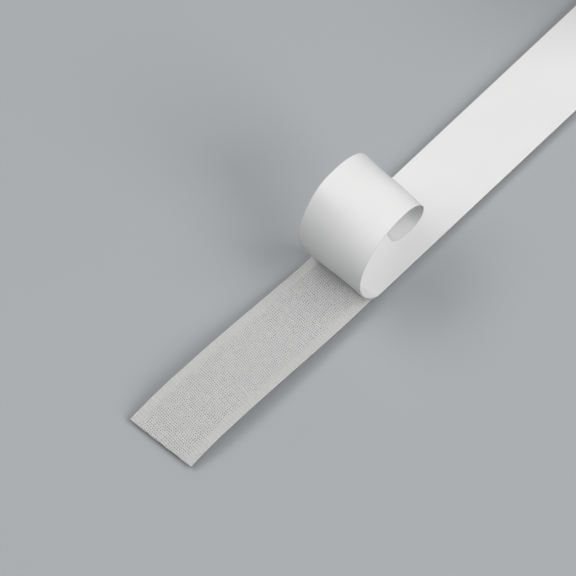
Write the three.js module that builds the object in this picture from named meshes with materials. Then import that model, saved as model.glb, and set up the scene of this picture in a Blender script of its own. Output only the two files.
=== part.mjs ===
// A roll of self-adhesive hook tape with its end laid out and its release liner peeled back.
// Millimetres, +Z up. +X runs along the laid tape towards the roll, +Y across the tape.
// The origin lies on the hook face, under the middle of the line where the liner leaves the tape.
import * as THREE from "three";

// Driving dimensions of the tape and its layers, from the hooks up to the liner
const tapeWidth = 25;
const selvedgeWidth = 2.8;
const hookHeight = 1.0;
const weaveThickness = 0.6;
const adhesiveThickness = 0.15;
const adhesiveInset = 0.3;
const linerThickness = 0.2;
const linerOverhang = 0.1;
const bondGap = 0.02;

// How the tape lies: the bare end springs up in a low arch and drifts to one side
const bareLength = 84;
const laidLength = 163;
const leadLength = 38;
const archHeight = 2.3;
const archStart = 6;
const crownStart = 56;
const crownEnd = 64;
const endDrift = 1.2;
const driftPower = 1.6;
const archSteps = 8;
const dropSteps = 4;

// The wound stock and its paper core
const stockLength = 2000;
const coreBore = 25.4;
const coreWall = 2;
const coreGap = 0.3;
const windingGap = 0.45;
const leadGap = 0.3;
const turnSweep = 350;
const turnSteps = 35;
const roundSteps = 48;

// The peeled liner as it curls, from the peel line to its free end.
// Each stretch is an arc, with its radius on the near and the far edge, or a straight run.
const peelGap = 0.3;
const curlStretches = [
  { nearRadius: 2.7, farRadius: 2, sweep: 40, steps: 4 },
  { nearRadius: 19.9, farRadius: 21.2, sweep: 50, steps: 5 },
  { nearRadius: 16.9, farRadius: 24, sweep: 45, steps: 5 },
  { nearRadius: 19.7, farRadius: 10.5, sweep: 45, steps: 5 },
  { nearRun: 1.2, farRun: 2.3 },
  { nearRadius: 9.3, farRadius: 14.7, sweep: 60, steps: 6 },
  { nearRadius: 5.4, farRadius: 4.1, sweep: 120, steps: 10 },
  { nearRun: 1.9, farRun: 2.5 },
  { nearRadius: 8.3, farRadius: 4.9, sweep: 60, steps: 5 },
];

// Heights of the layers above the surface that the tape lies on
const weaveBottom = hookHeight + bondGap;
const weaveTop = weaveBottom + weaveThickness;
const adhesiveBottom = weaveTop + bondGap;
const adhesiveTop = adhesiveBottom + adhesiveThickness;
const linerBottom = adhesiveTop + bondGap;
const linerTop = linerBottom + linerThickness;

// The roll's radius follows from the length that is still wound on the core
const corePaperRadius = coreBore / 2 + coreWall;
const windingRadius = corePaperRadius + coreGap;
const pitch = linerTop + windingGap;
const woundLength = stockLength - bareLength - laidLength;
const rollRadius = Math.sqrt(windingRadius ** 2 + (woundLength * pitch) / Math.PI);

const white = (color, roughness) => new THREE.MeshStandardMaterial({ color, roughness, metalness: 0 });
const hookNylon = white(0xe4e4e2, 0.45);
const wovenNylon = white(0xc4c4c2, 0.8);
const clearAdhesive = white(0xd2d2cc, 0.25);
const linerPaper = white(0xeeeeee, 0.4);
const corePaper = white(0xb59a78, 0.85);

const radians = THREE.MathUtils.degToRad;
const smooth = (t) => t * t * (3 - 2 * t);

// Joins a row of four-cornered sections into one closed solid with flat ends
function loft(sections) {
  const corners = 4;
  const position = sections.flat().flatMap((p) => [p.x, p.y, p.z]);
  const index = [];
  for (let i = 0; i + 1 < sections.length; i++) {
    for (let k = 0; k < corners; k++) {
      const a = i * corners + k;
      const b = i * corners + ((k + 1) % corners);
      index.push(a, b, a + corners, b, b + corners, a + corners);
    }
  }
  const last = (sections.length - 1) * corners;
  index.push(0, 2, 1, 0, 3, 2);
  index.push(last, last + 1, last + 2, last, last + 2, last + 3);
  const geometry = new THREE.BufferGeometry();
  geometry.setAttribute("position", new THREE.Float32BufferAttribute(position, 3));
  geometry.setIndex(index);
  geometry.computeVertexNormals();
  return geometry;
}

function addPiece(group, name, geometry, material) {
  const mesh = new THREE.Mesh(geometry, material);
  mesh.name = name;
  group.add(mesh);
  return mesh;
}

// Rise of the bare end above the table, at a distance from the peel line
function archAt(distance) {
  if (distance <= archStart) return 0;
  if (distance < crownStart) return archHeight * smooth((distance - archStart) / (crownStart - archStart));
  if (distance <= crownEnd) return archHeight;
  return archHeight * (1 - ((distance - crownEnd) / (bareLength - crownEnd)) ** 2);
}

// Sideways drift of the bare end, at a distance from the peel line
function driftAt(distance) {
  return distance <= 0 ? 0 : endDrift * (distance / bareLength) ** driftPower;
}

// Distances from the peel line at which the bare end is drawn, from its cut edge inwards
function bareDistances() {
  const distances = [];
  for (let i = dropSteps; i > 0; i--) distances.push(crownEnd + ((bareLength - crownEnd) * i) / dropSteps);
  distances.push(crownEnd, crownStart);
  for (let i = archSteps - 1; i >= 0; i--) distances.push(archStart + ((crownStart - archStart) * i) / archSteps);
  return distances;
}

// One layer of the laid tape, from the given distances short of the peel line to a stop on the roll's side
function laidLayer(distances, bottom, top, width, stop) {
  const stations = [...distances.map((d) => ({ x: -d, y: driftAt(d), rise: archAt(d) })), { x: stop, y: 0, rise: 0 }];
  return loft(
    stations.map(({ x, y, rise }) => [
      new THREE.Vector3(x, y - width / 2, bottom + rise),
      new THREE.Vector3(x, y + width / 2, bottom + rise),
      new THREE.Vector3(x, y + width / 2, top + rise),
      new THREE.Vector3(x, y - width / 2, top + rise),
    ]),
  );
}

// Points of the curl's outer face on one edge of the liner, with the unit normal to its inner face.
// The liner sets out towards -X and turns upwards.
function curlEdge(radiusKey, runKey) {
  let heading = Math.PI;
  let x = 0;
  let z = linerBottom;
  const points = [];
  const mark = () => points.push({ x, z, inX: Math.sin(heading), inZ: -Math.cos(heading) });
  mark();
  for (const stretch of curlStretches) {
    if (stretch.sweep) {
      const radius = stretch[radiusKey];
      const turn = radians(stretch.sweep) / stretch.steps;
      for (let i = 0; i < stretch.steps; i++) {
        x += radius * (Math.sin(heading) - Math.sin(heading - turn));
        z += radius * (Math.cos(heading - turn) - Math.cos(heading));
        heading -= turn;
        mark();
      }
    } else {
      x += stretch[runKey] * Math.cos(heading);
      z += stretch[runKey] * Math.sin(heading);
      mark();
    }
  }
  return points;
}

function peeledLiner() {
  const near = curlEdge("nearRadius", "nearRun");
  const far = curlEdge("farRadius", "farRun");
  const half = tapeWidth / 2 + linerOverhang;
  const outer = (p, y) => new THREE.Vector3(p.x, y, p.z);
  const inner = (p, y) => new THREE.Vector3(p.x + p.inX * linerThickness, y, p.z + p.inZ * linerThickness);
  return loft(near.map((p, i) => [outer(far[i], half), outer(p, -half), inner(p, -half), inner(far[i], half)]));
}

// A point of the spiral at an angle round the roll from the bottom, a depth below the roll's outside
function spiralPoint(angle, depth, y) {
  const radius = rollRadius - depth - (pitch * angle) / (2 * Math.PI);
  return new THREE.Vector3(laidLength + radius * Math.sin(angle), y, rollRadius - radius * Math.cos(angle));
}

// One layer of the outermost turn, which winds up from the table round the stock
function turnLayer(bottom, top, width) {
  const sections = [];
  for (let i = 0; i <= turnSteps; i++) {
    const angle = (radians(turnSweep) * i) / turnSteps;
    sections.push([
      spiralPoint(angle, bottom, -width / 2),
      spiralPoint(angle, bottom, width / 2),
      spiralPoint(angle, top, width / 2),
      spiralPoint(angle, top, -width / 2),
    ]);
  }
  return loft(sections);
}

// The inner turns as one block whose outside steps in by one turn at the bottom, where the outer turn sets off
function woundStock() {
  const outline = new THREE.Shape();
  for (let i = 0; i <= turnSteps; i++) {
    const angle = (2 * Math.PI * i) / turnSteps;
    const point = spiralPoint(angle, pitch, 0);
    if (i === 0) outline.moveTo(point.x - laidLength, point.z - rollRadius);
    else outline.lineTo(point.x - laidLength, point.z - rollRadius);
  }
  outline.closePath();
  const bore = new THREE.Path().absarc(0, 0, windingRadius, 0, 2 * Math.PI, true);
  outline.holes.push(bore);
  const settings = { depth: tapeWidth, bevelEnabled: false, curveSegments: roundSteps };
  const block = new THREE.ExtrudeGeometry(outline, settings);
  return block.translate(0, 0, -tapeWidth / 2).rotateX(Math.PI / 2);
}

// The paper core is a plain tube on the roll's axis, which lies along Y
function coreTube() {
  const half = tapeWidth / 2;
  const bore = coreBore / 2;
  const wall = [
    [bore, -half],
    [corePaperRadius, -half],
    [corePaperRadius, half],
    [bore, half],
    [bore, -half],
  ];
  const profile = wall.map(([radius, height]) => new THREE.Vector2(radius, height));
  return new THREE.LatheGeometry(profile, roundSteps);
}

// The least gap between the outermost turn's start and the turn that lies on it
function leastTurnGap() {
  let least = Infinity;
  const step = radians(1);
  for (let angle = 0; angle <= 2 * Math.PI; angle += step) {
    const inside = spiralPoint(angle, linerTop, 0);
    const outside = spiralPoint(angle, pitch, 0);
    least = Math.min(least, inside.distanceTo(outside));
  }
  return least;
}

// The layers from the table up, each with the name of its laid stretch
const layers = [
  {
    layer: "hooks",
    laid: "hook_field",
    bottom: 0,
    top: hookHeight,
    width: tapeWidth - 2 * selvedgeWidth,
    material: hookNylon,
  },
  {
    layer: "weave",
    laid: "tape_weave",
    bottom: weaveBottom,
    top: weaveTop,
    width: tapeWidth,
    material: wovenNylon,
  },
  {
    layer: "adhesive",
    laid: "adhesive_film",
    bottom: adhesiveBottom,
    top: adhesiveTop,
    width: tapeWidth - 2 * adhesiveInset,
    material: clearAdhesive,
  },
  {
    layer: "liner",
    laid: "liner_flat",
    bottom: linerBottom,
    top: linerTop,
    width: tapeWidth + 2 * linerOverhang,
    material: linerPaper,
  },
];

const tapeRoll = new THREE.Group();
const laidTape = new THREE.Group();
const roll = new THREE.Group();
tapeRoll.add(laidTape, roll);

// Every layer lies along the table, runs on through the lead to the roll and winds once round the stock.
// The liner is still on the tape only from the peel line onwards.
const leadStart = laidLength - leadLength;
for (const { layer, laid, bottom, top, width, material } of layers) {
  const start = layer === "liner" ? [-peelGap] : bareDistances();
  addPiece(laidTape, laid, laidLayer(start, bottom, top, width, leadStart), material);
  const lead = laidLayer([-leadStart - leadGap], bottom, top, width, laidLength - leadGap);
  addPiece(laidTape, `lead_${layer}`, lead, material);
  addPiece(roll, `turn_${layer}`, turnLayer(bottom, top, width), material);
}

addPiece(tapeRoll, "liner_curl", peeledLiner(), linerPaper);

const spindle = new THREE.Group();
spindle.position.set(laidLength, 0, rollRadius);
roll.add(spindle);
addPiece(spindle, "wound_stock", woundStock(), wovenNylon);
addPiece(spindle, "roll_core", coreTube(), corePaper);

console.log(`roll radius ${rollRadius.toFixed(2)} mm, least gap between turns ${leastTurnGap().toFixed(2)} mm`);

export default tapeRoll;
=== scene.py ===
import math

import bpy
import numpy as np
from mathutils import Matrix, Vector


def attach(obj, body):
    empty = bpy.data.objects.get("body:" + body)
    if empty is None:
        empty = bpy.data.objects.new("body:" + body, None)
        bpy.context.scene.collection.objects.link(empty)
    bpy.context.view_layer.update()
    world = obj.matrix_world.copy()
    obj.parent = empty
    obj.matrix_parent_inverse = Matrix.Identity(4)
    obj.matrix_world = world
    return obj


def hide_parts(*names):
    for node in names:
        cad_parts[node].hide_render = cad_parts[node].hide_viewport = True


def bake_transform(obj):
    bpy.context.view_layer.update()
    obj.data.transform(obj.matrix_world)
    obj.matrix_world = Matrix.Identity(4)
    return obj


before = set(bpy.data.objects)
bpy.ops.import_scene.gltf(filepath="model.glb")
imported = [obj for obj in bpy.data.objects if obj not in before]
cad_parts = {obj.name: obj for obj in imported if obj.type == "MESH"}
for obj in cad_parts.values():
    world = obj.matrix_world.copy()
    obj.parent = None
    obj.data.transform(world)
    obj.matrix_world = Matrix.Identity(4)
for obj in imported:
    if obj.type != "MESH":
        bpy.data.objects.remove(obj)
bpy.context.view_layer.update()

scene = bpy.context.scene
mm = 0.001

# sizes in millimetres, as the solids have them, with a bare end 0.6 mm shorter
tape = {
    "width": 25.0,
    "selvedge": 2.8,
    "weaveBottom": 1.02,
    "weaveTop": 1.62,
    "filmBottom": 1.64,
    "filmTop": 1.79,
    "filmInset": 0.3,
    "filmSetback": 0.05,
    "linerBottom": 1.81,
    "linerTop": 2.01,
    "linerOverhang": 0.1,
    "bareLength": 83.4,
    "laidLength": 163.0,
    "leadFrom": 125.0,
    "leadBlendTo": 148.0,
}
halfWidth = tape["width"] / 2
filmHalf = halfWidth - tape["filmInset"]
linerHalf = halfWidth + tape["linerOverhang"]
hookEdge = halfWidth - tape["selvedge"]

# how the bare end lies: a low arch, a slow drift to the far side, and a tilt beside the peel
lay = {
    "archHeight": 2.3,
    "archStart": 6.0,
    "crownStart": 56.0,
    "crownEnd": 64.0,
    "endDrift": 1.2,
    "driftPower": 1.6,
    "tiltRise": 5.0,
    "tiltFade": 24.0,
    "nearLift": 3.0,
    "farDip": 0.9,
    "sideShift": 0.45,
}

camera = {
    "azimuth": -48.7455,
    "elevation": 58.3423,
    "roll": 1.0253,
    "lens": 1000.0,
    "sensor": 36.0,
    "clipEnd": 100.0,
    "picture": 576,
    "pixelsPerMm": 3.2887,
    "aim": (-16.77, 9.50, 2.0),
}


def smooth(t):
    t = np.clip(t, 0.0, 1.0)
    return t * t * (3 - 2 * t)


# camera at the photograph's angle, long enough to show hardly any perspective
def placeCamera():
    turn = math.radians(camera["azimuth"])
    tip = math.radians(camera["elevation"])
    roll = math.radians(camera["roll"])
    flat = math.cos(tip)
    back = Vector((math.sin(turn) * flat, -math.cos(turn) * flat, math.sin(tip)))
    side = Vector((math.cos(turn), math.sin(turn), 0))
    top = back.cross(side)
    rolledSide = side * math.cos(roll) + top * math.sin(roll)
    rolledTop = top * math.cos(roll) - side * math.sin(roll)
    data = bpy.data.cameras.new("photoCamera")
    data.sensor_width = camera["sensor"]
    data.lens = camera["lens"]
    data.clip_end = camera["clipEnd"]
    sensorPixels = camera["sensor"] * camera["pixelsPerMm"]
    distance = camera["picture"] * camera["lens"] / sensorPixels * mm
    spot = Vector(camera["aim"]) * mm + back * distance
    seat = bpy.data.objects.new("photoCamera", data)
    axes = Matrix((rolledSide, rolledTop, back)).transposed().to_4x4()
    seat.matrix_world = Matrix.Translation(spot) @ axes
    scene.collection.objects.link(seat)
    scene.camera = seat


placeCamera()
print("camera placed")


# a socket that takes part in Python sums
class Wire:
    def __init__(self, net, made, out=0):
        self.net = net
        self.made = made
        self.socket = made.outputs[out]

    def other(self, out):
        return Wire(self.net, self.made, out)

    def sum(self, operation, first, second):
        return self.net.node("ShaderNodeMath", {"operation": operation}, {0: first, 1: second})

    def __add__(self, value):
        return self.sum("ADD", self, value)

    def __radd__(self, value):
        return self.sum("ADD", value, self)

    def __sub__(self, value):
        return self.sum("SUBTRACT", self, value)

    def __rsub__(self, value):
        return self.sum("SUBTRACT", value, self)

    def __mul__(self, value):
        return self.sum("MULTIPLY", self, value)

    def __rmul__(self, value):
        return self.sum("MULTIPLY", value, self)


# a node tree, of a material or of Geometry Nodes
class Net:
    def __init__(self, tree):
        self.tree = tree

    def node(self, kind, settings=None, sockets=None, out=0):
        made = self.tree.nodes.new(kind)
        for key, value in (settings or {}).items():
            setattr(made, key, value)
        for key, value in (sockets or {}).items():
            self.feed(made.inputs[key], value)
        return Wire(self, made, out)

    def feed(self, socket, value):
        if isinstance(value, Wire):
            self.tree.links.new(value.socket, socket)
        else:
            socket.default_value = value


# a material: constants go straight to the shader's sockets
class Finish(Net):
    def __init__(self, name, constants):
        self.material = bpy.data.materials.new(name)
        self.material.use_nodes = True
        super().__init__(self.material.node_tree)
        self.shader = self.tree.nodes["Principled BSDF"]
        for key, value in constants.items():
            self.shader.inputs[key].default_value = value

    def cosine(self, angle):
        return self.node("ShaderNodeMath", {"operation": "COSINE"}, {0: angle})

    def whole(self, value):
        return self.node("ShaderNodeMath", {"operation": "FLOOR"}, {0: value})

    def between(self, value, low, high):
        settings = {"interpolation_type": "SMOOTHSTEP"}
        return self.node("ShaderNodeMapRange", settings, {0: value, 1: low, 2: high})

    def noise(self, place, scale, detail, roughness):
        sockets = {"Vector": place, "Scale": scale, "Detail": detail, "Roughness": roughness}
        return self.node("ShaderNodeTexNoise", {}, sockets)

    def mix(self, share, first, second):
        sockets = {0: share, 6: first, 7: second}
        return self.node("ShaderNodeMix", {"data_type": "RGBA"}, sockets, 2)

    # distance from the middle of the tape, in millimetres
    def offset(self, across):
        return self.node("ShaderNodeMath", {"operation": "ABSOLUTE"}, {0: across})

    def paint(self, colour, roughness):
        self.feed(self.shader.inputs["Base Color"], colour)
        self.feed(self.shader.inputs["Roughness"], roughness)
        return self.material

    def bump(self, height, look):
        sockets = {"Height": height, "Strength": look["bumpStrength"]}
        sockets["Distance"] = look["bumpDepth"] * mm
        self.feed(self.shader.inputs["Normal"], self.node("ShaderNodeBump", {}, sockets))


# noises are given as scale, detail and roughness, and lengths in millimetres
weaveLook = {
    "colour": (0.669, 0.669, 0.666, 1.0),
    "selvedgeColour": (0.638, 0.638, 0.635, 1.0),
    # dark colour of the painted shade in the pits, the grooves and along the edges of the cloth
    "paintedShadeColour": (0.150, 0.150, 0.150, 1.0),
    "ribPitch": 0.692,
    "ribSkew": 0.12,
    "ribDrift": 0.10,
    "ribWaveAcross": 0.8,
    "ribWaveAlong": 0.11,
    "ribContrast": 0.2,
    "columnPitch": 0.81,
    "columnDrift": 0.15,
    "columnWaveAlong": 0.7,
    "columnWaveAcross": 0.3,
    "rowShift": 0.2,
    "rowWave": 2.7,
    "fadeInside": 1.2,
    "fadeOutside": 0.6,
    "fuzz": (7.0, 2.0, 0.6),
    "patch": (0.14, 3.0, 0.5),
    "pitShade": 0.23,
    "pitChance": 0.47,
    "pitPatch": 0.36,
    "grooveShade": 0.24,
    "grooveFade": 0.06,
    "fuzzShade": 0.16,
    "shadeFrom": -0.05,
    "shadeTo": 1.05,
    # painted shade along the edges and side walls of the cloth
    "rimWidth": 0.15,
    "rimShade": 0.7,
    "roughness": 0.66,
    "fuzzRoughness": 0.2,
    "bumpGroove": 0.5,
    "bumpFuzz": 0.2,
    "bumpDepth": 0.05,
    "bumpStrength": 0.5,
    "relief": 0.13,
    "reliefPit": 0.65,
    "reliefGroove": 0.35,
    "shallowest": 0.5,
    "seed": 11,
}


# ribs and columns of the weave at millimetres along the tape and across it: ribs lie a little
# askew, each row of pits is shifted on its own, and every second rib is deeper
def weaveLines(along, across, cosine, whole):
    look = weaveLook
    wave = cosine(look["ribWaveAcross"] * across + look["ribWaveAlong"] * along)
    rib = along - look["ribSkew"] * across + look["ribDrift"] * wave
    rib = rib * (1 / look["ribPitch"])
    row = whole(rib)
    wave = cosine(look["columnWaveAlong"] * along + look["columnWaveAcross"] * across)
    column = across + look["columnDrift"] * wave
    shift = look["rowShift"] * cosine(look["rowWave"] * row)
    column = column * (1 / look["columnPitch"]) + shift
    ribValley = 0.5 - 0.5 * cosine(rib * (2 * math.pi))
    columnValley = 0.5 - 0.5 * cosine(column * (2 * math.pi))
    groove = ribValley * (1 + look["ribContrast"] * cosine(row * math.pi))
    return row, whole(column), ribValley * columnValley, groove


# UV holds millimetres along the tape and across it; the pits, grooves and edges of the cloth get
# painted shade
def wovenFinish():
    look = weaveLook
    net = Finish("wovenNylon", {"Specular IOR Level": 0.3, "Sheen Weight": 0.1})
    flat = net.node("ShaderNodeUVMap", {"uv_map": "tapeFlat"})
    along = net.node("ShaderNodeSeparateXYZ", {}, {0: flat})
    across = along.other(1)
    row, column, pit, groove = weaveLines(along, across, net.cosine, net.whole)
    offset = net.offset(across)
    fadeEnd = hookEdge + look["fadeOutside"]
    field = 1 - net.between(offset, hookEdge - look["fadeInside"], fadeEnd)
    cell = net.node("ShaderNodeCombineXYZ", {}, {"X": row, "Y": column})
    chance = net.node("ShaderNodeTexWhiteNoise", {"noise_dimensions": "2D"}, {"Vector": cell})
    fuzz = net.noise(flat, *look["fuzz"])
    patch = net.noise(flat, *look["patch"])
    # painted shade in the pits and grooves of the weave, deeper in some pits than in others; the
    # fuzz added to it is random tone
    depth = look["pitShade"] + look["pitChance"] * chance + look["pitPatch"] * patch
    pit = pit * field * depth
    groove = groove * (look["grooveShade"] - look["grooveFade"] * field)
    shade = pit + groove + look["fuzzShade"] * (fuzz - 0.5)
    ground = net.mix(field, look["selvedgeColour"], look["colour"])
    # painted shade along the edges and side walls of the cloth, which the lamps light more than
    # its top
    rim = net.between(offset, halfWidth - look["rimWidth"], halfWidth)
    ground = net.mix(rim * look["rimShade"], ground, look["paintedShadeColour"])
    shade = net.between(shade, look["shadeFrom"], look["shadeTo"])
    colour = net.mix(shade, ground, look["paintedShadeColour"])
    net.bump(1 - pit - look["bumpGroove"] * groove + look["bumpFuzz"] * fuzz, look)
    return net.paint(colour, look["roughness"] + look["fuzzRoughness"] * fuzz)


# clear film: thin milky gloss over the cloth
filmLook = {
    "shades": ((0.62, 0.62, 0.61, 1), (0.72, 0.72, 0.71, 1)),
    "smear": (0.5, 4.0, 0.6),
    "grain": (3.0, 3.0, 0.6),
    "alpha": 0.10,
    "smearAlpha": 0.05,
    "roughness": 0.30,
    "smearRoughness": 0.25,
    "bumpDepth": 0.03,
    "bumpStrength": 0.6,
}


def filmFinish():
    look = filmLook
    net = Finish("clearAdhesive", {"Specular IOR Level": 0.6, "IOR": 1.46})
    flat = net.node("ShaderNodeUVMap", {"uv_map": "tapeFlat"})
    smear = net.noise(flat, *look["smear"])
    alpha = look["alpha"] + look["smearAlpha"] * smear
    net.feed(net.shader.inputs["Alpha"], alpha)
    net.bump(net.noise(flat, *look["grain"]), look)
    colour = net.mix(smear, *look["shades"])
    return net.paint(colour, look["roughness"] + look["smearRoughness"] * smear)


# coated release paper: fine fibres, faint cockle, low sheen and a greyer cut edge
linerLook = {
    "shades": ((0.770, 0.770, 0.765, 1), (0.815, 0.815, 0.812, 1)),
    "edgeColour": (0.60, 0.60, 0.595, 1),
    "edgeWidth": 0.12,
    "fibre": (2600.0, 3.0, 0.65),
    "cloud": (90.0, 4.0, 0.55),
    "cockle": (160.0, 2.0, 0.4),
    "cloudShare": 0.7,
    "roughness": 0.40,
    "cloudRoughness": 0.16,
    "fibreRoughness": 0.06,
    "bumpFibre": 0.08,
    "bumpDepth": 0.10,
    "bumpStrength": 0.35,
}


def linerFinish():
    look = linerLook
    net = Finish("releasePaper", {"Specular IOR Level": 0.45})
    place = net.node("ShaderNodeTexCoord").other("Object")
    fibre = net.noise(place, *look["fibre"])
    cloud = net.noise(place, *look["cloud"])
    cockle = net.noise(place, *look["cockle"])
    share = cloud * look["cloudShare"] + fibre * (1 - look["cloudShare"])
    colour = net.mix(share, *look["shades"])
    flat = net.node("ShaderNodeUVMap", {"uv_map": "tapeFlat"})
    across = net.node("ShaderNodeSeparateXYZ", {}, {0: flat}).other(1)
    cutEdge = net.between(net.offset(across), linerHalf - look["edgeWidth"], linerHalf)
    colour = net.mix(cutEdge, colour, look["edgeColour"])
    net.bump(fibre * look["bumpFibre"] + cockle, look)
    roughness = look["roughness"] + look["cloudRoughness"] * cloud
    return net.paint(colour, roughness + look["fibreRoughness"] * fibre)


# clear white nylon wire
hookLook = {
    "shades": ((0.60, 0.60, 0.59, 1), (0.74, 0.74, 0.73, 1)),
    "cloud": (700.0, 2.0, 0.5),
    "roughness": 0.32,
    "cloudRoughness": 0.2,
}


def hookFinish():
    look = hookLook
    net = Finish("hookNylon", {"Specular IOR Level": 0.5})
    place = net.node("ShaderNodeTexCoord").other("Object")
    cloud = net.noise(place, *look["cloud"])
    colour = net.mix(cloud, *look["shades"])
    return net.paint(colour, look["roughness"] + look["cloudRoughness"] * cloud)


# brown board of the core, wound from paper plies
boardLook = {
    "shades": ((0.39, 0.307, 0.218, 1), (0.52, 0.412, 0.296, 1)),
    "fleckColour": (0.24, 0.184, 0.126, 1),
    "fibre": (1400.0, 4.0, 0.7),
    "cloud": (120.0, 4.0, 0.6),
    "fleck": (900.0, 1.0, 0.5),
    "fleckFrom": 0.64,
    "fleckTo": 0.74,
    "cloudShare": 0.6,
    "fleckShare": 0.5,
    "roughness": 0.82,
    "fibreRoughness": 0.12,
    "bumpDepth": 0.06,
    "bumpStrength": 0.6,
}


def boardFinish():
    look = boardLook
    net = Finish("coreBoard", {"Specular IOR Level": 0.25})
    place = net.node("ShaderNodeTexCoord").other("Object")
    fibre = net.noise(place, *look["fibre"])
    cloud = net.noise(place, *look["cloud"])
    fleck = net.noise(place, *look["fleck"])
    fleck = net.between(fleck, look["fleckFrom"], look["fleckTo"])
    share = cloud * look["cloudShare"] + fibre * (1 - look["cloudShare"])
    base = net.mix(share, *look["shades"])
    colour = net.mix(fleck * look["fleckShare"], base, look["fleckColour"])
    net.bump(fibre, look)
    return net.paint(colour, look["roughness"] + look["fibreRoughness"] * fibre)


finishes = {
    "weave": wovenFinish(),
    "film": filmFinish(),
    "liner": linerFinish(),
    "hooks": hookFinish(),
    "board": boardFinish(),
}
print("finishes made:", len(finishes))


# how the laid tape stands off the table at x, for a point v across it
def layAt(x, v):
    d = np.maximum(-x, 0.0)
    rise = (d - lay["archStart"]) / (lay["crownStart"] - lay["archStart"])
    up = lay["archHeight"] * smooth(rise)
    fall = np.maximum(d - lay["crownEnd"], 0) / (tape["bareLength"] - lay["crownEnd"])
    up = np.where(d > lay["crownEnd"], lay["archHeight"] * (1 - fall**2), up)
    side = lay["endDrift"] * (d / tape["bareLength"]) ** lay["driftPower"]
    tilt = smooth(d / lay["tiltRise"]) * np.exp(-d / lay["tiltFade"])
    near = lay["nearLift"] * (hookEdge - v) / (hookEdge + halfWidth)
    far = -lay["farDip"] * (v - hookEdge) / tape["selvedge"]
    up = up + tilt * np.where(v < hookEdge, near, far)
    return v + side - tilt * lay["sideShift"], up


def stripPoints(x, v, height):
    x, v, height = np.broadcast_arrays(x, v, height)
    y, up = layAt(x, v)
    return np.stack([x, y, up + height], axis=-1)


def spiralPoints(angle, depth, y):
    angle, depth, y = np.broadcast_arrays(angle, depth, y)
    radius = turnRadius(angle / (2 * math.pi)) - depth
    x = tape["laidLength"] + radius * np.sin(angle)
    return np.stack([x, y, roll["radius"] - radius * np.cos(angle)], axis=-1)


# one object from vertices in millimetres, with UVs from each vertex's place on the flat tape
def makeObject(name, points, faces, flat, finish):
    data = bpy.data.meshes.new(name)
    data.from_pydata((np.asarray(points) * mm).tolist(), [], faces)
    loops = np.empty(len(data.loops), dtype=np.int64)
    data.loops.foreach_get("vertex_index", loops)
    layer = data.uv_layers.new(name="tapeFlat")
    layer.data.foreach_set("uv", np.asarray(flat, dtype=np.float32)[loops].ravel())
    data.materials.append(finish)
    data.shade_smooth()
    data.validate()
    made = bpy.data.objects.new(name, data)
    scene.collection.objects.link(made)
    return made


def gridFaces(first, rows, columns, flip=False):
    faces = []
    for r in range(rows - 1):
        for c in range(columns - 1):
            a = first + r * columns + c
            quad = (a, a + 1, a + columns + 1, a + columns)
            faces.append(quad[::-1] if flip else quad)
    return faces


# a closed sheet from two grids of points, upper and lower, with rows along the tape and
# columns towards +Y
def sheetObject(name, upper, lower, flat, finish, flip=False):
    rows, columns = upper.shape[:2]
    count = rows * columns
    points = np.concatenate([upper.reshape(-1, 3), lower.reshape(-1, 3)])
    faces = gridFaces(0, rows, columns, flip) + gridFaces(count, rows, columns, not flip)
    rim = list(range(columns))
    rim += [r * columns + columns - 1 for r in range(1, rows)]
    rim += [(rows - 1) * columns + c for c in range(columns - 2, -1, -1)]
    rim += [r * columns for r in range(rows - 2, 0, -1)]
    for a, b in zip(rim, rim[1:] + rim[:1]):
        wall = (a, count + a, count + b, b)
        faces.append(wall[::-1] if flip else wall)
    both = np.concatenate([flat.reshape(-1, 2), flat.reshape(-1, 2)])
    made = makeObject(name, points, faces, both, finish)
    markSharp(made)
    return made


# hard edges where faces meet at more than so many degrees
def markSharp(made, angle=40.0):
    made.data.set_sharp_from_angle(angle=math.radians(angle))


def spread(low, high, step):
    return np.linspace(low, high, max(2, int(round((high - low) / step)) + 1))


# the bare woven back, with real ribs and pits on its upper face, running on under the liner
wovenStrip = {
    "samplesPerRib": 4,
    "fineColumns": 128,
    "coarseColumns": 8,
    "fineTo": 1.0,
    "edgeBulge": 0.05,
    "edgeSlack": 0.01,
    "sharpAngle": 60.0,
}


def weaveRelief(x, v):
    look = weaveLook
    row, column, pit, groove = weaveLines(x, v, np.cos, np.floor)
    inside = np.abs(v) - hookEdge + look["fadeInside"]
    field = 1 - smooth(inside / (look["fadeInside"] + look["fadeOutside"]))
    row = (row - row.min()).astype(int)
    column = (column - column.min()).astype(int)
    cells = (row.max() + 1, column.max() + 1)
    chance = np.random.default_rng(look["seed"]).uniform(look["shallowest"], 1.0, cells)
    pit = look["reliefPit"] * pit * field * chance[row, column]
    return -look["relief"] * (pit + look["reliefGroove"] * groove)


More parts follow.
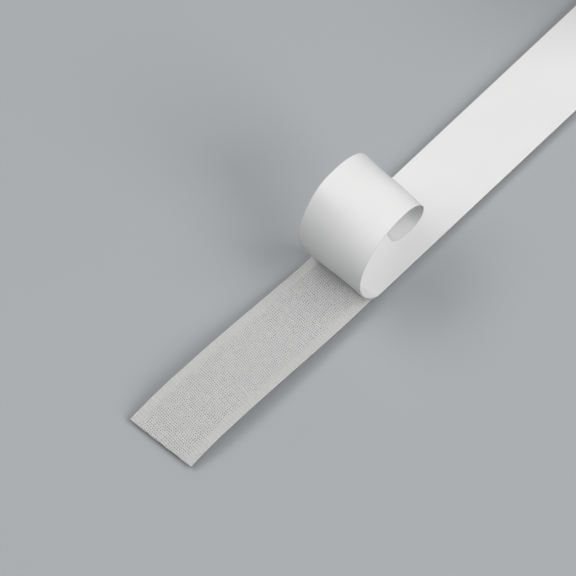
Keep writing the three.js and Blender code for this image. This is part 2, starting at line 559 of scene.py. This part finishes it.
def makeWeave():
    look = wovenStrip
    step = weaveLook["ribPitch"] / look["samplesPerRib"]
    fineX = spread(-tape["bareLength"], look["fineTo"], step)
    coarseX = spread(look["fineTo"] + step, tape["leadFrom"], step)
    allX = np.concatenate([fineX, coarseX])
    fineV = np.linspace(-halfWidth, halfWidth, look["fineColumns"] + 1)
    coarseV = np.linspace(-halfWidth, halfWidth, look["coarseColumns"] + 1)

    def bulged(x, v):
        turn = 0.5 + 0.5 * np.cos(2 * math.pi * x / weaveLook["ribPitch"])
        edge = np.abs(v) > halfWidth - look["edgeSlack"]
        return v * (1 + look["edgeBulge"] * turn / halfWidth * edge)

    def face(x, v, height):
        grid, across = np.meshgrid(x, v, indexing="ij")
        return stripPoints(grid, bulged(grid, across), height), np.stack([grid, across], axis=-1)

    grid, across = np.meshgrid(fineX, fineV, indexing="ij")
    fineTop, fineFlat = face(fineX, fineV, tape["weaveTop"] + weaveRelief(grid, across))
    coarseTop, coarseFlat = face(coarseX, coarseV, tape["weaveTop"])
    lower, lowerFlat = face(allX, coarseV, tape["weaveBottom"])
    parts = [fineTop, coarseTop, lower]
    points = np.concatenate([p.reshape(-1, 3) for p in parts])
    flat = np.concatenate([p.reshape(-1, 2) for p in (fineFlat, coarseFlat, lowerFlat)])
    fineRows, fineCount = fineTop.shape[:2]
    coarseRows, coarseCount = coarseTop.shape[:2]
    coarseFirst = fineRows * fineCount
    lowerFirst = coarseFirst + coarseRows * coarseCount
    faces = gridFaces(0, fineRows, fineCount, True)
    faces += gridFaces(coarseFirst, coarseRows, coarseCount, True)
    faces += gridFaces(lowerFirst, fineRows + coarseRows, coarseCount)
    lastFine = (fineRows - 1) * fineCount
    ratio = look["fineColumns"] // look["coarseColumns"]
    for c in range(look["coarseColumns"]):
        row = [lastFine + c * ratio + k for k in range(ratio + 1)]
        faces.append(tuple([coarseFirst + c, coarseFirst + c + 1] + row[::-1]))
    for side in (0, 1):
        fineEdge = side * (fineCount - 1)
        coarseEdge = side * (coarseCount - 1)
        upperRim = [fineEdge + r * fineCount for r in range(fineRows)]
        upperRim += [coarseFirst + coarseEdge + r * coarseCount for r in range(coarseRows)]
        lowerRim = [lowerFirst + coarseEdge + r * coarseCount for r in range(len(allX))]
        for k in range(len(allX) - 1):
            wall = (upperRim[k], lowerRim[k], lowerRim[k + 1], upperRim[k + 1])
            faces.append(wall if side == 0 else wall[::-1])
    cutEnd = list(range(fineCount)) + [lowerFirst + c for c in range(coarseCount - 1, -1, -1)]
    faces.append(tuple(cutEnd))
    lastUpper = coarseFirst + (coarseRows - 1) * coarseCount
    lastLower = lowerFirst + (len(allX) - 1) * coarseCount
    innerEnd = [lastLower + c for c in range(coarseCount)]
    innerEnd += [lastUpper + c for c in range(coarseCount - 1, -1, -1)]
    faces.append(tuple(innerEnd))
    made = makeObject("wovenBack", points, faces, flat, finishes["weave"])
    markSharp(made, look["sharpAngle"])
    return made


wovenBack = makeWeave()
print("woven back:", len(wovenBack.data.polygons), "faces")


# plain layers of the laid tape and of the lead under the roll
plain = {
    "laidStep": 1.0,
    "laidColumns": 17,
    "leadStep": 0.5,
    "leadColumns": 9,
}


def layer(name, fromX, toX, step, columns, bottom, top, half, finish):
    across = np.linspace(-half, half, columns)
    x, v = np.meshgrid(spread(fromX, toX, step), across, indexing="ij")
    flat = np.stack([x, v], axis=-1)
    upper = stripPoints(x, v, top)
    return sheetObject(name, upper, stripPoints(x, v, bottom), flat, finish, True)


leadEnd = tape["laidLength"]
filmFrom = -tape["bareLength"] + tape["filmSetback"]
weaveSpan = (tape["weaveBottom"], tape["weaveTop"], halfWidth, finishes["weave"])
filmSpan = (tape["filmBottom"], tape["filmTop"], filmHalf, finishes["film"])
linerSpan = (tape["linerBottom"], tape["linerTop"], linerHalf, finishes["liner"])
laidGrid = (filmFrom, tape["leadFrom"], plain["laidStep"], plain["laidColumns"])
leadGrid = (tape["leadFrom"], leadEnd, plain["leadStep"], plain["leadColumns"])
clearFilm = layer("clearFilm", *laidGrid, *filmSpan)
leadWeave = layer("leadWeave", *leadGrid, *weaveSpan)
leadFilm = layer("leadFilm", *leadGrid, *filmSpan)
leadLiner = layer("leadLiner", *leadGrid, *linerSpan)
print("lead layers made")


# the liner: flat on the tape, then peeled up into an upright scroll. A stretch has its radius at
# the near and the far edge and the angle that it turns, or its length where it turns by none
scroll = {
    "stretches": [
        {"near": 4.0, "far": 3.0, "sweep": 40, "steps": 12},
        {"near": 19.5, "far": 20.9, "sweep": 50, "steps": 22},
        {"near": 16.9, "far": 24.0, "sweep": 45, "steps": 26},
        {"near": 19.7, "far": 10.5, "sweep": 45, "steps": 22},
        {"near": 1.2, "far": 2.3, "sweep": 0, "steps": 4},
        {"near": 9.3, "far": 14.7, "sweep": 60, "steps": 24},
        {"near": 5.4, "far": 4.1, "sweep": 120, "steps": 32},
        {"near": 1.9, "far": 2.5, "sweep": 0, "steps": 4},
        {"near": 8.3, "far": 4.9, "sweep": 60, "steps": 18},
    ],
    "peelStart": 0.62,
    "columns": 25,
    "flatStep": 1.5,
    "waver": 0.18,
    "waverRise": 25.0,
    "waverAlong": 5.3,
    "waverSlant": 6.1,
    "waverAcross": 4.7,
    "waverPhase": 0.4,
}


# x, z and heading along one edge of the scroll, from the peel line to the free end
def scrollEdge(edge):
    x, z, heading = scroll["peelStart"], tape["linerBottom"], math.pi
    path = [(x, z, heading)]
    for stretch in scroll["stretches"]:
        size = stretch[edge]
        turn = math.radians(stretch["sweep"]) / stretch["steps"]
        for k in range(stretch["steps"]):
            if turn:
                x += size * (math.sin(heading) - math.sin(heading - turn))
                z += size * (math.cos(heading - turn) - math.cos(heading))
                heading -= turn
            else:
                x += size / stretch["steps"] * math.cos(heading)
                z += size / stretch["steps"] * math.sin(heading)
            path.append((x, z, heading))
    return np.array(path)


def makeLiner():
    flatX = spread(scroll["peelStart"], tape["leadFrom"], scroll["flatStep"])[:0:-1]
    level = np.full_like(flatX, tape["linerBottom"])
    straight = np.stack([flatX, level, np.full_like(flatX, math.pi)], axis=-1)
    near = np.concatenate([straight, scrollEdge("near")])
    far = np.concatenate([straight, scrollEdge("far")])
    share = np.linspace(0, 1, scroll["columns"])[None, :, None]
    path = near[:, None, :] * (1 - share) + far[:, None, :] * share
    x, z, heading = path[..., 0], path[..., 1], path[..., 2]
    v = np.broadcast_to(np.linspace(-linerHalf, linerHalf, scroll["columns"]), x.shape)
    middle = (near + far) / 2
    run = np.hypot(np.diff(middle[:, 0]), np.diff(middle[:, 1]))
    length = np.concatenate([[0], np.cumsum(run)])
    peeled = np.maximum(length - tape["leadFrom"] + scroll["peelStart"], 0)[:, None]
    rise = scroll["waver"] * smooth(peeled / scroll["waverRise"])
    ripple = np.sin(peeled / scroll["waverAlong"] + v / scroll["waverSlant"])
    waver = rise * ripple * np.cos(v / scroll["waverAcross"] + scroll["waverPhase"])
    normalX, normalZ = np.sin(heading), -np.cos(heading)

    def face(offset):
        reach = offset + waver
        return np.stack([x + reach * normalX, v, z + reach * normalZ], axis=-1)

    flat = np.stack([np.broadcast_to(length[:, None], x.shape), v], axis=-1)
    thickness = tape["linerTop"] - tape["linerBottom"]
    made = sheetObject("releaseLiner", face(thickness), face(0.0), flat, finishes["liner"])
    return made, float(length[-1])


releaseLiner, linerLength = makeLiner()
print("liner made, length", round(linerLength, 1), "mm")

# the wound tape: an even spiral outside, while the inmost turns lie round the core and step
# over their own end
roll = {
    "radius": 39.97,
    "pitch": 2.215,
    "innerRadius": 14.85,
    "firstClimb": 0.14,
    "evenFrom": 4,
    "stepsPerTurn": 96,
    "weaveColumns": 9,
    "plainColumns": 3,
    "lengthSteps": 4000,
    "outerSweep": 350.0,
}
roll["turns"] = (roll["radius"] - tape["linerTop"] - roll["innerRadius"]) / roll["pitch"]


# radius of the hook tips, so many turns in from where the tape leaves the table
def turnRadius(turn):
    fromCore = np.maximum(roll["turns"] - turn, 0.0)
    under = np.floor(fromCore)
    climb = roll["firstClimb"] + (1 - roll["firstClimb"]) * under / roll["evenFrom"]
    climb = np.minimum(climb, 1.0)
    share = np.clip(1 - (1 - fromCore + under) / climb, 0.0, 1.0)
    step = climb * share + (1 - climb) * smooth(share)
    return roll["innerRadius"] + tape["linerTop"] + roll["pitch"] * (under + step)


# length of so many turns, along the middle of the cloth
def windingLength(turns):
    middle = (tape["weaveBottom"] + tape["weaveTop"]) / 2
    radius = turnRadius(np.linspace(0, turns, roll["lengthSteps"] + 1)) - middle
    return 2 * math.pi * turns * float(np.mean(radius))


def ribbon(name, columns, bottom, top, half, finish):
    steps = int(roll["turns"] * roll["stepsPerTurn"])
    angles = np.linspace(0, 2 * math.pi * roll["turns"], steps + 1)
    angle, v = np.meshgrid(angles, np.linspace(-half, half, columns), indexing="ij")
    along = tape["laidLength"] + windingLength(1.0) * angle / (2 * math.pi)
    flat = np.stack([along, v], axis=-1)
    upper = spiralPoints(angle, top, v)
    return sheetObject(name, upper, spiralPoints(angle, bottom, v), flat, finish, True)


woundWeave = ribbon("woundWeave", roll["weaveColumns"], *weaveSpan)
woundFilm = ribbon("woundFilm", roll["plainColumns"], *filmSpan)
woundLiner = ribbon("woundLiner", roll["plainColumns"], *linerSpan)
print("winding made,", round(roll["turns"], 2), "turns")

# board tube, with the helical seam of its inner ply as a shallow groove
core = {
    "outerRadius": 14.7,
    "boreRadius": 12.7,
    "bevel": 0.35,
    "bevelShare": 0.3,
    "sharpAngle": 30.0,
    "around": 120,
    "along": 40,
    "seamLead": 38.0,
    "seamDepth": 0.12,
    "seamWidth": 0.6,
}


def makeCore():
    bore, outer, bevel = core["boreRadius"], core["outerRadius"], core["bevel"]
    half = halfWidth
    cut = bevel * core["bevelShare"]
    profile = [(bore, y) for y in np.linspace(half - bevel, -half + bevel, core["along"])]
    profile += [(bore + cut, -half + cut), (bore + bevel, -half), (outer - bevel, -half)]
    profile += [(outer - cut, -half + cut), (outer, -half + bevel)]
    profile += [(outer, half - bevel), (outer - cut, half - cut), (outer - bevel, half)]
    profile += [(bore + bevel, half), (bore + cut, half - cut)]
    size = len(profile)
    points = []
    flat = []
    for k in range(core["around"]):
        angle = 2 * math.pi * k / core["around"]
        for radius, y in profile:
            turns = angle / (2 * math.pi) - y / core["seamLead"]
            away = abs(turns - round(turns)) * core["seamLead"]
            groove = core["seamDepth"] * max(0.0, 1 - away / core["seamWidth"])
            reach = radius + (groove if radius == bore else 0.0)
            x = tape["laidLength"] + reach * math.sin(angle)
            points.append((x, y, roll["radius"] - reach * math.cos(angle)))
            flat.append((angle * bore, y))
    faces = []
    for k in range(core["around"]):
        this, after = k * size, (k + 1) % core["around"] * size
        for i in range(size):
            j = (i + 1) % size
            faces.append((this + j, after + j, after + i, this + i))
    made = makeObject("coreTube", points, faces, flat, finishes["board"])
    markSharp(made, core["sharpAngle"])
    return made


coreTube = makeCore()
print("core made")

# hooks: bent nylon wires in rows, stood on a seat mesh along its normals. The curve's handles
# and tip are shares of its height and reach, and the gaps on the roll are shares of a turn
hooks = {
    "height": 0.93,
    "wire": 0.085,
    "reach": 0.42,
    "riseHandle": 1.25,
    "tipHandleReach": 1.1,
    "tipHandleHeight": 1.15,
    "tipHeight": 0.45,
    "bendSteps": 6,
    "wireSides": 4,
    "stray": 0.45,
    "smallest": 0.93,
    "seatLift": 0.02,
    "rowPitch": 1.15,
    "columnPitch": 1.2,
    "stagger": 0.25,
    "endMargin": 0.6,
    "outerColumns": 16,
    "edgeRows": 2,
    "leadGap": 0.002,
    "turnGap": 0.004,
    "coreGap": 0.1,
    "seed": 7,
}


def hookTree():
    tree = bpy.data.node_groups.new("hookRows", "GeometryNodeTree")
    net = Net(tree)
    face = tree.interface
    face.new_socket(name="Seat", in_out="INPUT", socket_type="NodeSocketGeometry")
    for key in ("Height", "Wire", "Reach"):
        face.new_socket(name=key, in_out="INPUT", socket_type="NodeSocketFloat")
    face.new_socket(name="Seed", in_out="INPUT", socket_type="NodeSocketInt")
    face.new_socket(name="Nylon", in_out="INPUT", socket_type="NodeSocketMaterial")
    face.new_socket(name="Hooks", in_out="OUTPUT", socket_type="NodeSocketGeometry")
    given = net.node("NodeGroupInput", {}, {}, "Seat")
    height, reach, seed = given.other("Height"), given.other("Reach"), given.other("Seed")

    def spot(x, z):
        return net.node("ShaderNodeCombineXYZ", {}, {"X": x, "Z": z})

    def draw(low, high, seed):
        sockets = {2: low, 3: high, "Seed": seed}
        return net.node("FunctionNodeRandomValue", {"data_type": "FLOAT"}, sockets, 1)

    tipHandle = spot(reach * hooks["tipHandleReach"], height * hooks["tipHandleHeight"])
    bend = net.node("GeometryNodeCurvePrimitiveBezierSegment", {"mode": "POSITION"}, {
        "Resolution": hooks["bendSteps"],
        "Start": spot(0.0, 0.0),
        "Start Handle": spot(0.0, height * hooks["riseHandle"]),
        "End Handle": tipHandle,
        "End": spot(reach, height * hooks["tipHeight"])})
    ring = net.node("GeometryNodeCurvePrimitiveCircle", {"mode": "RADIUS"}, {
        "Resolution": hooks["wireSides"], "Radius": given.other("Wire")})
    wire = net.node("GeometryNodeCurveToMesh", {}, {
        "Curve": bend, "Profile Curve": ring, "Fill Caps": True})
    normal = net.node("GeometryNodeInputNormal")
    stand = net.node("FunctionNodeAlignRotationToVector", {"axis": "Z"}, {"Vector": normal})
    sockets = {4: 0, 5: 1, "Seed": seed}
    facing = net.node("FunctionNodeRandomValue", {"data_type": "INT"}, sockets, 2)
    stray = draw(-hooks["stray"], hooks["stray"], seed + 1)
    spin = net.node("ShaderNodeCombineXYZ", {}, {"Z": facing * math.pi + stray})
    turned = net.node("FunctionNodeRotateRotation", {"rotation_space": "LOCAL"}, {
        "Rotation": stand, "Rotate By": spin})
    size = draw(hooks["smallest"], 1.0, seed + 2)
    rows = net.node("GeometryNodeInstanceOnPoints", {}, {
        "Points": given, "Instance": wire, "Rotation": turned, "Scale": size})
    real = net.node("GeometryNodeRealizeInstances", {}, {"Geometry": rows})
    soft = net.node("GeometryNodeSetShadeSmooth", {}, {0: real, "Shade Smooth": True})
    done = net.node("GeometryNodeSetMaterial", {}, {
        "Geometry": soft, "Material": given.other("Nylon")})
    end = tree.nodes.new("NodeGroupOutput")
    tree.links.new(done.socket, end.inputs["Hooks"])
    return tree


hookRows = hookTree()


# runs the tree on a seat mesh and keeps the result as a plain mesh
def growHooks(name, seat):
    modifier = seat.modifiers.new("hooks", "NODES")
    modifier.node_group = hookRows
    values = {
        "Height": hooks["height"] * mm,
        "Wire": hooks["wire"] * mm,
        "Reach": hooks["reach"] * mm,
        "Seed": hooks["seed"],
        "Nylon": finishes["hooks"],
    }
    for item in hookRows.interface.items_tree:
        if item.in_out == "INPUT" and item.name in values:
            modifier[item.identifier] = values[item.name]
    bpy.context.view_layer.update()
    shown = seat.evaluated_get(bpy.context.evaluated_depsgraph_get())
    data = bpy.data.meshes.new_from_object(shown)
    data.name = name
    seat.modifiers.remove(modifier)
    bare = seat.data
    bpy.data.objects.remove(seat)
    bpy.data.meshes.remove(bare)
    made = bpy.data.objects.new(name, data)
    scene.collection.objects.link(made)
    return made


# a mesh with a vertex at each hook's place
def hookSeat(places):
    points = places.reshape(-1, 3)
    faces = gridFaces(0, *places.shape[:2])
    return makeObject("hookSeat", points, faces, points[:, :2], finishes["hooks"])


# places in rows along the tape, every second row shifted to one side
def staggered(along, count, low, high):
    across = np.linspace(low, high, count)
    pitch = across[1] - across[0]
    grid, v = np.meshgrid(along, across, indexing="ij")
    side = np.where(np.arange(len(along)) % 2, hooks["stagger"], -hooks["stagger"])
    return grid, v + (side * pitch)[:, None]


fieldHalf = hookEdge - hooks["columnPitch"] / 2
hookFoot = tape["weaveBottom"] + hooks["seatLift"]


def stripHooks(name, fromX, toX):
    columns = int(2 * fieldHalf / hooks["columnPitch"]) + 1
    along = spread(fromX, toX, hooks["rowPitch"])
    x, v = staggered(along, columns, -fieldHalf, fieldHalf)
    return growHooks(name, hookSeat(stripPoints(x, v, hookFoot)))


def turnHooks(name, fromTurn, toTurn, low, high, columns):
    length = windingLength(toTurn) - windingLength(fromTurn)
    angles = spread(fromTurn * 2 * math.pi, toTurn * 2 * math.pi,
                    (toTurn - fromTurn) * 2 * math.pi * hooks["rowPitch"] / length)
    angle, v = staggered(angles, columns, low, high)
    return growHooks(name, hookSeat(spiralPoints(angle, hookFoot, v)))


gap = hooks["rowPitch"] / 2
bareFrom = -tape["bareLength"] + hooks["endMargin"]
hookField = stripHooks("hookField", bareFrom, tape["leadFrom"] - gap)
leadHooks = stripHooks("leadHooks", tape["leadFrom"] + gap, leadEnd - gap)
outerTurn = roll["outerSweep"] / 360
outerSpan = (hooks["leadGap"], outerTurn)
innerSpan = (outerTurn + hooks["turnGap"], roll["turns"] - hooks["coreGap"])
rowEdge = fieldHalf - hooks["columnPitch"]
rows = hooks["edgeRows"]
outerHooks = turnHooks("outerHooks", *outerSpan, -fieldHalf, fieldHalf, hooks["outerColumns"])
innerHooksNear = turnHooks("innerHooksNear", *innerSpan, -fieldHalf, -rowEdge, rows)
innerHooksFar = turnHooks("innerHooksFar", *innerSpan, rowEdge, fieldHalf, rows)
for made in (hookField, leadHooks, outerHooks, innerHooksNear, innerHooksFar):
    print(made.name, "triangles:", sum(len(p.vertices) - 2 for p in made.data.polygons))


# pale floor and soft studio light from all round, strongest from the near side; in metres
stage = {
    "floorSize": 8.0,
    "floorDrop": 0.0001,
    "floorShades": ((0.405, 0.422, 0.438, 1), (0.425, 0.442, 0.458, 1)),
    "floorCloud": (6.0, 3.0, 0.5),
    "floorRoughness": 0.8,
    "cloudRoughness": 0.1,
    "fadeFrom": 0.45,
    "fadeTo": 2.4,
    "backdropColour": (0.98, 0.99, 1.0, 1),
    "skyLevel": 0.01,
    "backdropLevel": 0.75,
    "lampSize": 1.6,
    "aim": (0.0, 0.0, 0.01),
    "lamps": {
        "nearSide": {"place": (0.0, -2.252, 1.3), "power": 38.0},
        "nearRollEnd": {"place": (1.182, -1.182, 1.992), "power": 19.9},
        "farRollEndLow": {"place": (2.202, 1.272, 0.541), "power": 6.6},
        "farSide": {"place": (0.0, 1.671, 1.992), "power": 16.1},
        "farBareEnd": {"place": (-1.182, 1.182, 1.992), "power": 16.9},
        "bareEnd": {"place": (-0.803, 0.0, 2.473), "power": 9.9},
    },
}


# 1 for the rays that show the backdrop: seen straight, mirrored or through something clear
def seenRays(net):
    ray = net.node("ShaderNodeLightPath", {}, {}, "Is Camera Ray")
    return ray + ray.other("Is Glossy Ray") + ray.other("Is Transmission Ray")


# pale card that fades into the backdrop far from the tape
def floorFinish():
    net = Finish("paleFloor", {"Specular IOR Level": 0.1})
    place = net.node("ShaderNodeTexCoord").other("Object")
    cloud = net.noise(place, *stage["floorCloud"])
    reach = net.node("ShaderNodeVectorMath", {"operation": "LENGTH"}, {0: place}, 1)
    glow = net.node("ShaderNodeEmission", {}, {
        "Color": stage["backdropColour"], "Strength": stage["backdropLevel"]})
    roughness = stage["floorRoughness"] + stage["cloudRoughness"] * cloud
    net.paint(net.mix(cloud, *stage["floorShades"]), roughness)
    fade = net.between(reach, stage["fadeFrom"], stage["fadeTo"]) * seenRays(net)
    both = net.node("ShaderNodeMixShader", {}, {0: fade, 1: Wire(net, net.shader), 2: glow})
    net.feed(net.tree.nodes["Material Output"].inputs["Surface"], both)
    return net.material


def addLamp(name, place, power):
    data = bpy.data.lights.new(name, "AREA")
    data.shape = "DISK"
    data.size = stage["lampSize"]
    data.energy = power
    made = bpy.data.objects.new(name, data)
    made.location = place
    beam = Vector(stage["aim"]) - Vector(place)
    made.rotation_euler = beam.to_track_quat("-Z", "Y").to_euler()
    made.visible_camera = False
    scene.collection.objects.link(made)


def makeStage():
    half = stage["floorSize"] / 2
    low = -stage["floorDrop"]
    corners = [(-half, -half, low), (half, -half, low), (half, half, low), (-half, half, low)]
    data = bpy.data.meshes.new("floor")
    data.from_pydata(corners, [], [(0, 1, 2, 3)])
    data.materials.append(floorFinish())
    floor = bpy.data.objects.new("floor", data)
    scene.collection.objects.link(floor)
    for name, lamp in stage["lamps"].items():
        addLamp(name, lamp["place"], lamp["power"])
    world = bpy.data.worlds.new("studio")
    world.use_nodes = True
    net = Net(world.node_tree)
    backdrop = world.node_tree.nodes["Background"]
    backdrop.inputs["Color"].default_value = stage["backdropColour"]
    seen = stage["backdropLevel"] - stage["skyLevel"]
    net.feed(backdrop.inputs["Strength"], stage["skyLevel"] + seen * seenRays(net))
    scene.world = world
    scene.view_settings.view_transform = "Standard"


makeStage()
print("stage set")

for piece, body, nodes, slot in (
    (wovenBack, "laid_tape", ["tape_weave"], "weave"),
    (clearFilm, "laid_tape", ["adhesive_film"], "film"),
    (hookField, "laid_tape", ["hook_field"], "hooks"),
    (woundWeave, "roll", ["turn_weave", "wound_stock"], "weave"),
    (woundFilm, "roll", ["turn_adhesive"], "film"),
    (woundLiner, "roll", ["turn_liner"], "liner"),
    (outerHooks, "roll", ["turn_hooks"], "hooks"),
    (innerHooksNear, "roll", [], "hooks"),
    (innerHooksFar, "roll", [], "hooks"),
    (coreTube, "roll", ["roll_core"], "board"),
):
    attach(piece, body)
    if nodes:
        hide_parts(*nodes)

for piece, node, slot in (
    (leadWeave, "lead_weave", "weave"),
    (leadFilm, "lead_adhesive", "film"),
    (leadLiner, "lead_liner", "liner"),
    (leadHooks, "lead_hooks", "hooks"),
):
    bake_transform(piece)
    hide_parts(node)

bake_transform(releaseLiner)
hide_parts("liner_flat", "liner_curl")

# flat length of the wound tape, in metres
wound = windingLength(roll["turns"]) * mm

print("pieces tied to their bodies")
